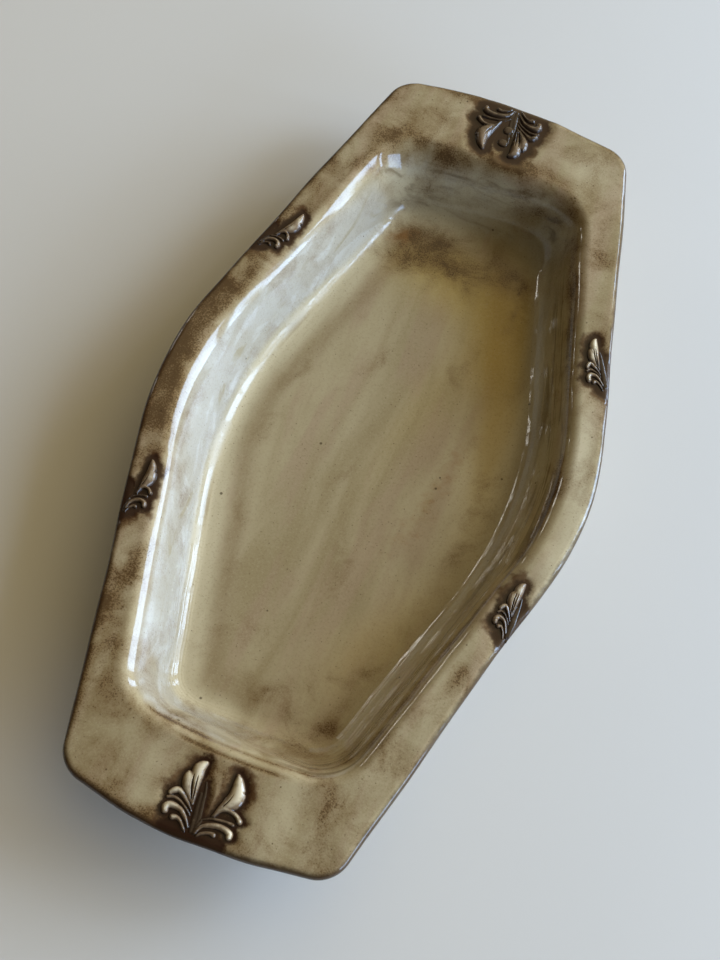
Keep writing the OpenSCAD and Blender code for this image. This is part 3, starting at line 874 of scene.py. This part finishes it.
def oxide_wash_group():
    """Oxide wash: a soft mask broken up by clouds and by a fine stipple, as sponged oxide is.

    Clouds and grain about nought are added to the mask; the wash covers where the sum is high, and its darker
    granules lie where the grain lifts it higher still.
    """
    nodes, given, out = new_group("oxide_wash", {"Mask": 0, "Cloud": 60, "Grain": 1500}, ["Wash", "Granules"])
    cloud = nodes.math("SUBTRACT", nodes.noise(given["Vector"], given["Cloud"], 6, 0.62, 0.5), 0.5)
    grain = nodes.math("SUBTRACT", nodes.noise(given["Vector"], given["Grain"], 2, 0.65), 0.5)
    clouded = nodes.math("MULTIPLY_ADD", cloud, 1.8, given["Mask"])
    shown = nodes.step(given["Mask"], 0.0, 0.12)
    covered = nodes.step(nodes.math("MULTIPLY_ADD", grain, 0.5, clouded), 0.05, 0.95)
    nodes.tree.links.new(nodes.math("MULTIPLY", covered, shown), out["Wash"])
    grained = nodes.step(nodes.math("MULTIPLY_ADD", grain, 1.5, clouded), 0.6, 1.05)
    nodes.tree.links.new(nodes.math("MULTIPLY", grained, shown), out["Granules"])
    return nodes.tree


def iron_specks_group():
    """Scattered round specks: cells whose random share is low hold a dot of random size."""
    nodes, given, out = new_group("iron_specks", {"Scale": 700, "Share": 0.2, "Radius": 0.15}, ["Amount"])
    cells = nodes.tree.nodes.new("ShaderNodeTexVoronoi")
    nodes.tree.links.new(given["Vector"], cells.inputs["Vector"])
    nodes.tree.links.new(given["Scale"], cells.inputs["Scale"])
    parts = nodes.tree.nodes.new("ShaderNodeSeparateColor")
    nodes.tree.links.new(cells.outputs["Color"], parts.inputs[0])
    kept = nodes.math("LESS_THAN", parts.outputs[0], given["Share"])
    size = nodes.math("MULTIPLY", nodes.math("MULTIPLY_ADD", parts.outputs[1], 0.9, 0.4), given["Radius"])
    dot = nodes.step(nodes.math("DIVIDE", cells.outputs["Distance"], size), 1.2, 0.6)
    nodes.tree.links.new(nodes.math("MULTIPLY", dot, kept), out["Amount"])
    return nodes.tree


def glaze_skin_group():
    """Skin of a poured glaze: a slow wave and a faint orange peel as height, and roughness that drifts."""
    nodes, given, out = new_group("glaze_skin", {"Roughness": 0.08}, ["Height", "Roughness"])
    wave = nodes.noise(given["Vector"], 45, 1, 0.4)
    wave = nodes.math("MULTIPLY_ADD", nodes.noise(given["Vector"], 130, 1, 0.4), 0.12, wave)
    peel = nodes.noise(given["Vector"], 600, 2, 0.5)
    nodes.tree.links.new(nodes.math("MULTIPLY_ADD", peel, 0.008, wave), out["Height"])
    drift = nodes.math("MULTIPLY_ADD", nodes.noise(given["Vector"], 45, 3), 0.05, -0.025)
    nodes.tree.links.new(nodes.math("ADD", given["Roughness"], drift), out["Roughness"])
    return nodes.tree


def finish_material(nodes, base_colour, roughness, height, bump_distance):
    """Ends a glaze material: a glossy Principled shader with the height as its bump."""
    bump = nodes.add("ShaderNodeBump", {"Height": height, "Strength": 1.0, "Distance": bump_distance})
    finish = {"Base Color": base_colour, "Roughness": roughness, "Normal": bump}
    shader = nodes.add("ShaderNodeBsdfPrincipled",
                       {**finish, "IOR": GLAZE_IOR, "Specular Tint": GLAZE_SHEEN})
    nodes.end(shader, "ShaderNodeOutputMaterial")


def new_material(name):
    """An empty material and its node tree."""
    material = bpy.data.materials.new(name)
    material.use_nodes = True
    material.node_tree.nodes.clear()
    return material, Tree(material.node_tree)


def dish_glaze(wash, specks, skin):
    """Beige glaze with cream and olive pools, brown washes with a band of painted shadow, dark rings round
    the leaves and iron specks.

    Each tint goes over the ones before it, by a mask of the dish that noise breaks up. On the left and round
    the far and near-left corners the wall is smeared pale grey with whiter patches, partly glaze and partly
    painted reflection of the window; it has runs at the far end and bands on the right, and its left foot is
    duller in patches. The base is bare.
    """
    material, nodes = new_material("dish_glaze")
    coords = nodes.add("ShaderNodeTexCoord", {}, output="Object")
    brown, cream, olive, pale, rust, far_wall, satin, foot_line, seat, edge, zone, ripple = (
        nodes.attribute(name) for name in ("brown", "cream", "olive", "pale", "rust", "far_wall", "satin",
                                           "foot_line", "seat", "edge", "zone", "ripple"))
    across, along = (nodes.add("ShaderNodeSeparateXYZ", {0: coords}, output=axis) for axis in ("X", "Y"))
    # Brushed beige, and the pale grey of the left wall and corners with whiter patches, partly glaze and
    # partly painted reflection of the window
    brushed = nodes.noise(nodes.stretched(coords, (60, 12, 60)), 1.0, 4, 0.5, 0.8)
    streaks = nodes.noise(nodes.stretched(coords, (95, 17, 95)), 1.0, 3, 0.5, 0.5)
    smears_and_sheen = nodes.noise(nodes.stretched(coords, (90, 24, 70)), 1.0, 3, 0.5, 1.2)
    look = nodes.mix(nodes.step(brushed, 0.3, 0.7), BEIGE, LIGHT_BEIGE)
    look = nodes.tinted(look, nodes.step(streaks, 0.48, 0.7), 0.55, PINKISH_BEIGE)
    look = nodes.tinted(look, pale, 0.9, WALL_GREY_AND_SHEEN)
    look = nodes.tinted(look, pale, nodes.step(smears_and_sheen, 0.5, 0.66), WALL_WHITE_AND_SHEEN)
    look = nodes.tinted(look, pale, nodes.step(smears_and_sheen, 0.42, 0.3), WALL_BEIGE)
    # Pools of cream and olive, rust and sand
    creamy = nodes.math("MULTIPLY", cream, nodes.math("MULTIPLY_ADD", brushed, 0.8, 0.6))
    look = nodes.mix(nodes.step(creamy, 0.0, 1.0), look, CREAM)
    look = nodes.tinted(look, foot_line, 0.5, FOOT_LINE_BROWN)
    pooled = nodes.math("MULTIPLY", olive, nodes.math("MULTIPLY_ADD", brushed, 0.9, 0.5))
    look = nodes.mix(nodes.step(pooled, 0.0, 1.0), look, OLIVE)
    least_rust = nodes.math("SUBTRACT", rust, 0.45)
    rusty = nodes.math("MULTIPLY_ADD", nodes.noise(coords, 220, 4, 0.65), 0.9, least_rust)
    look = nodes.tinted(look, nodes.step(rusty, 0.1, 0.9), nodes.step(rust, 0.0, 0.15), RUST)
    sand = nodes.noise(coords, 1100, 3, 0.7)
    look = nodes.tinted(look, nodes.step(sand, 0.5, 0.72), 0.25, DARK_SAND)
    look = nodes.tinted(look, nodes.step(sand, 0.48, 0.28), 0.2, LIGHT_SAND)
    # Brown washes, which also carry a band of painted shadow on the floor by the right wall, runs down the
    # far wall and bands along the right one
    washed = {"Vector": coords, "Mask": brown}
    look = nodes.tinted(look, nodes.group(wash, washed, "Wash"), 0.85, WASH_AND_SHADOW_BROWN)
    look = nodes.tinted(look, nodes.group(wash, washed, "Granules"), 0.75, GRANULE_BROWN)
    runs = nodes.noise(nodes.stretched(coords, (34, 170, 120)), 1.0, 5, 0.6, 0.7)
    look = nodes.tinted(look, nodes.math("MULTIPLY", nodes.step(runs, 0.5, 0.68), far_wall), 0.52, RUN_BROWN)
    band_coords = {"X": nodes.math("MULTIPLY", zone, 11.0), "Y": nodes.math("MULTIPLY", along, 30.0)}
    bands = nodes.noise(nodes.add("ShaderNodeCombineXYZ", band_coords), 1.0, 3, 0.5, 0.5)
    right_side = nodes.math("MULTIPLY", nodes.step(across, 0.01, 0.03), nodes.step(along, 0.12, 0.09))
    between = nodes.math("MULTIPLY", nodes.step(zone, 1.05, 1.2), nodes.step(zone, 2.08, 1.95))
    right_wall = nodes.math("MULTIPLY", right_side, between)
    dark_bands, light_bands = nodes.step(bands, 0.5, 0.64), nodes.step(bands, 0.43, 0.32)
    look = nodes.tinted(look, dark_bands, nodes.math("MULTIPLY", right_wall, 0.52), BAND_BROWN)
    look = nodes.tinted(look, light_bands, nodes.math("MULTIPLY", right_wall, 0.32), BAND_STRAW)
    # Dark stain round the leaves and along the edge
    worn = nodes.math("MULTIPLY_ADD", nodes.noise(coords, 180, 5, 0.7), 6.4, -3.2)
    near_leaf = nodes.math("ADD", seat, worn)
    least_stain = nodes.math("SUBTRACT", near_leaf, 6.5)
    stained = nodes.math("MULTIPLY_ADD", nodes.noise(coords, 85, 3, 0.6), 13.0, least_stain)
    look = nodes.tinted(look, nodes.step(stained, 4.0, 0.8), 0.88, HALO_BROWN)
    dark_ring = nodes.step(near_leaf, 2.5, 0.3)
    look = nodes.mix(dark_ring, look, RING_BROWN)
    near_edge = nodes.math("ADD", edge, nodes.math("MULTIPLY", worn, 0.45))
    look = nodes.tinted(look, nodes.step(near_edge, 2.6, 0.5), 0.85, EDGE_BROWN)
    # Specks of three sizes, the middle ones mostly on the rim, and the bare base
    on_rim = nodes.math("MULTIPLY_ADD", nodes.step(zone, 1.85, 2.1), 0.5, 0.18)
    sizes = ((520, 0.5, 0.14, 0.45, FINE_SPECK), (310, 0.42, 0.11, on_rim, GRAIN_SPECK),
             (130, 0.3, 0.075, 0.75, LARGE_SPECK))
    for scale, share, radius, strength, tint in sizes:
        dots = nodes.group(specks, {"Vector": coords, "Scale": scale, "Share": share, "Radius": radius})
        look = nodes.tinted(look, dots, strength, tint)
    bare = nodes.step(zone, 4.62, 4.7)
    look = nodes.mix(bare, look, BARE_CLAY)
    # Roughness, then the height of the skin and of the ripples
    roughness = nodes.group(skin, {"Vector": coords, "Roughness": DISH_ROUGHNESS}, "Roughness")
    roughness = nodes.math("MULTIPLY_ADD", bare, 0.55, roughness)
    roughness = nodes.math("MULTIPLY_ADD", dark_ring, 0.1, roughness)
    roughness = nodes.math("MULTIPLY_ADD", satin, 0.04, roughness)
    dull = nodes.math("MULTIPLY", satin, nodes.step(nodes.noise(coords, 75, 3, 0.6), 0.5, 0.6))
    roughness = nodes.math("MULTIPLY_ADD", dull, 0.26, roughness)
    wavy = nodes.math("MULTIPLY_ADD", nodes.step(across, -0.01, 0.03), 0.5, 0.4)
    height = nodes.math("MULTIPLY", nodes.group(skin, {"Vector": coords}, "Height"), wavy)
    sway = nodes.math("MULTIPLY_ADD", zone, 140.0, nodes.math("MULTIPLY", nodes.noise(coords, 40, 2), 12.0))
    rippled = nodes.math("MULTIPLY", ripple, 0.045)
    height = nodes.math("MULTIPLY_ADD", nodes.math("SINE", sway), rippled, height)
    finish_material(nodes, look, roughness, height, DISH_BUMP)
    return material


def leaf_glaze(name, low, middle, high, wash, skin):
    """Glaze on relief: it runs off the ridges, so they show pale, and pools dark in the grooves; on the
    leaves the paleness set per leaf is partly painted shade.
    """
    material, nodes = new_material(name)
    coords = nodes.add("ShaderNodeTexCoord", {}, output="Object")
    relief = nodes.attribute("relief")
    uneven = nodes.math("MULTIPLY_ADD", nodes.noise(coords, 240, 5, 0.65), 0.9, -0.48)
    level = nodes.math("ADD", relief, uneven)
    look = nodes.mix(nodes.step(level, 0.05, 0.42), low, middle)
    look = nodes.mix(nodes.step(level, 0.45, 0.95), look, high)
    washed = {"Vector": coords, "Mask": nodes.math("SUBTRACT", 0.8, relief), "Cloud": 300}
    look = nodes.tinted(look, nodes.group(wash, washed, "Wash"), 0.5, low)
    roughness = nodes.group(skin, {"Vector": coords, "Roughness": LEAF_ROUGHNESS}, "Roughness")
    finish_material(nodes, look, roughness, nodes.noise(coords, 900, 3), LEAF_BUMP)
    return material


# Stage


def make_camera():
    """The photograph's camera: at its place, aimed at a point on the table and rolled."""
    data = bpy.data.cameras.new("camera")
    data.lens = CAMERA_LENS
    data.clip_start = 0.01
    camera = bpy.data.objects.new("camera", data)
    bpy.context.scene.collection.objects.link(camera)
    aim = Vector(CAMERA_TARGET) - Vector(CAMERA_AT)
    camera.location = CAMERA_AT
    camera.rotation_mode = "QUATERNION"
    camera.rotation_quaternion = aim.to_track_quat("-Z", "Y") @ Quaternion((0, 0, 1), CAMERA_ROLL)
    bpy.context.scene.camera = camera


# Lamps: direction, heights in degrees, spans to either side as shares of the distance, and brightness
WINDOW_AWAY = 1.4
WINDOW_AZIMUTH = math.radians(25)
WINDOW_HEIGHTS = (4, 40)
WINDOW_PANES = ((-0.278, -0.2), (-0.088, 0.279), (0.29, 0.33), (0.56, 0.72))
WINDOW_LIGHT = (9.9, 12.8, 16.6)
DOOR_AZIMUTH = math.radians(-18)
DOOR_HEIGHTS = (5, 27)
DOOR_SPAN = (-0.25, 0.25)
DOOR_LIGHT = (5.5, 7.5, 10.5)
FAR_WINDOW_AZIMUTH = math.radians(149)
FAR_WINDOW_HEIGHTS = (18, 24)
FAR_WINDOW_PANES = ((-0.046, 0.012), (0.045, 0.115), (0.228, 0.252))
FAR_WINDOW_LIGHT = (11, 9.9, 8.2)
# World: the way to its warm side, its colour there, and its colour elsewhere
WARM_WAY = (0.7, 0.7, 0.15)
WARM_LIGHT = (1.26, 1.0, 0.52, 1)
DIM_LIGHT = (0.035, 0.032, 0.026, 1)
TABLE_HALF = 4.0


def make_pane(name, azimuth, heights, span, light):
    """An upright rectangular lamp in a compass direction, between two heights as seen from the plate.

    The span is how far it reaches to either side, and the light is its brightness in red, green and blue.
    """
    towards = Vector((math.cos(azimuth), math.sin(azimuth), 0))
    along = Vector((-towards.y, towards.x, 0))
    foot, top = (WINDOW_AWAY * math.tan(math.radians(angle)) for angle in heights)
    start, end = (WINDOW_AWAY * share for share in span)
    data = bpy.data.lights.new(name, "AREA")
    data.shape = "RECTANGLE"
    data.size = end - start
    data.size_y = top - foot
    data.energy = max(light) * math.pi * data.size * data.size_y
    data.color = [part / max(light) for part in light]
    lamp = bpy.data.objects.new(name, data)
    bpy.context.scene.collection.objects.link(lamp)
    lamp.location = towards * WINDOW_AWAY + along * (start + end) / 2 + Vector((0, 0, (foot + top) / 2))
    lamp.rotation_mode = "QUATERNION"
    lamp.rotation_quaternion = (-towards).to_track_quat("-Z", "Y")


def make_room():
    """Soft light of the room: warm from the back on the right, and dim all round."""
    world = bpy.data.worlds.new("room")
    bpy.context.scene.world = world
    world.use_nodes = True
    world.node_tree.nodes.clear()
    nodes = Tree(world.node_tree)
    way = nodes.add("ShaderNodeTexCoord", {}, output="Generated")
    towards = nodes.add("ShaderNodeVectorMath", {0: way, 1: WARM_WAY}, output="Value",
                        operation="DOT_PRODUCT")
    look = nodes.mix(nodes.step(towards, -0.2, 0.9), DIM_LIGHT, WARM_LIGHT)
    nodes.end(nodes.add("ShaderNodeBackground", {"Color": look, "Strength": 1.0}), "ShaderNodeOutputWorld")


def make_floor():
    """Plain pale table top under the plate."""
    corners = [(x * TABLE_HALF, y * TABLE_HALF, 0) for x, y in ((-1, -1), (1, -1), (1, 1), (-1, 1))]
    mesh = bpy.data.meshes.new("table_top")
    mesh.from_pydata(corners, [], [(0, 1, 2, 3)])
    material, nodes = new_material("table_top")
    coords = nodes.add("ShaderNodeTexCoord", {}, output="Object")
    look = nodes.mix(nodes.noise(coords, 3, 2), *TABLE_COLOURS)
    shader = nodes.add("ShaderNodeBsdfPrincipled",
                       {"Base Color": look, "Roughness": 0.9, "Specular IOR Level": 0.2})
    nodes.end(shader, "ShaderNodeOutputMaterial")
    mesh.materials.append(material)
    floor = bpy.data.objects.new("table_top", mesh)
    bpy.context.scene.collection.objects.link(floor)


make_camera()
for pane_number, pane_span in enumerate(WINDOW_PANES):
    make_pane(f"window_pane_{pane_number}", WINDOW_AZIMUTH, WINDOW_HEIGHTS, pane_span, WINDOW_LIGHT)
make_pane("door_light", DOOR_AZIMUTH, DOOR_HEIGHTS, DOOR_SPAN, DOOR_LIGHT)
for pane_number, pane_span in enumerate(FAR_WINDOW_PANES):
    make_pane(f"far_window_pane_{pane_number}", FAR_WINDOW_AZIMUTH, FAR_WINDOW_HEIGHTS, pane_span,
              FAR_WINDOW_LIGHT)
make_room()
make_floor()
bpy.context.scene.view_settings.view_transform = "Standard"

wash, specks, skin = oxide_wash_group(), iron_specks_group(), glaze_skin_group()
make_dish(dish_glaze(wash, specks, skin))
sprig_glaze = leaf_glaze("leaf_glaze", *LEAF_COLOURS, wash, skin)
for leaf_name in LEAVES:
    make_leaf(leaf_name, sprig_glaze)
pellet_glaze = leaf_glaze("pellet_glaze", *PELLET_COLOURS, wash, skin)
make_pellet("outer_pellet", OUTER_PELLET_IN, 0.4, pellet_glaze)
make_pellet("inner_pellet", INNER_PELLET_IN, 1.9, pellet_glaze)
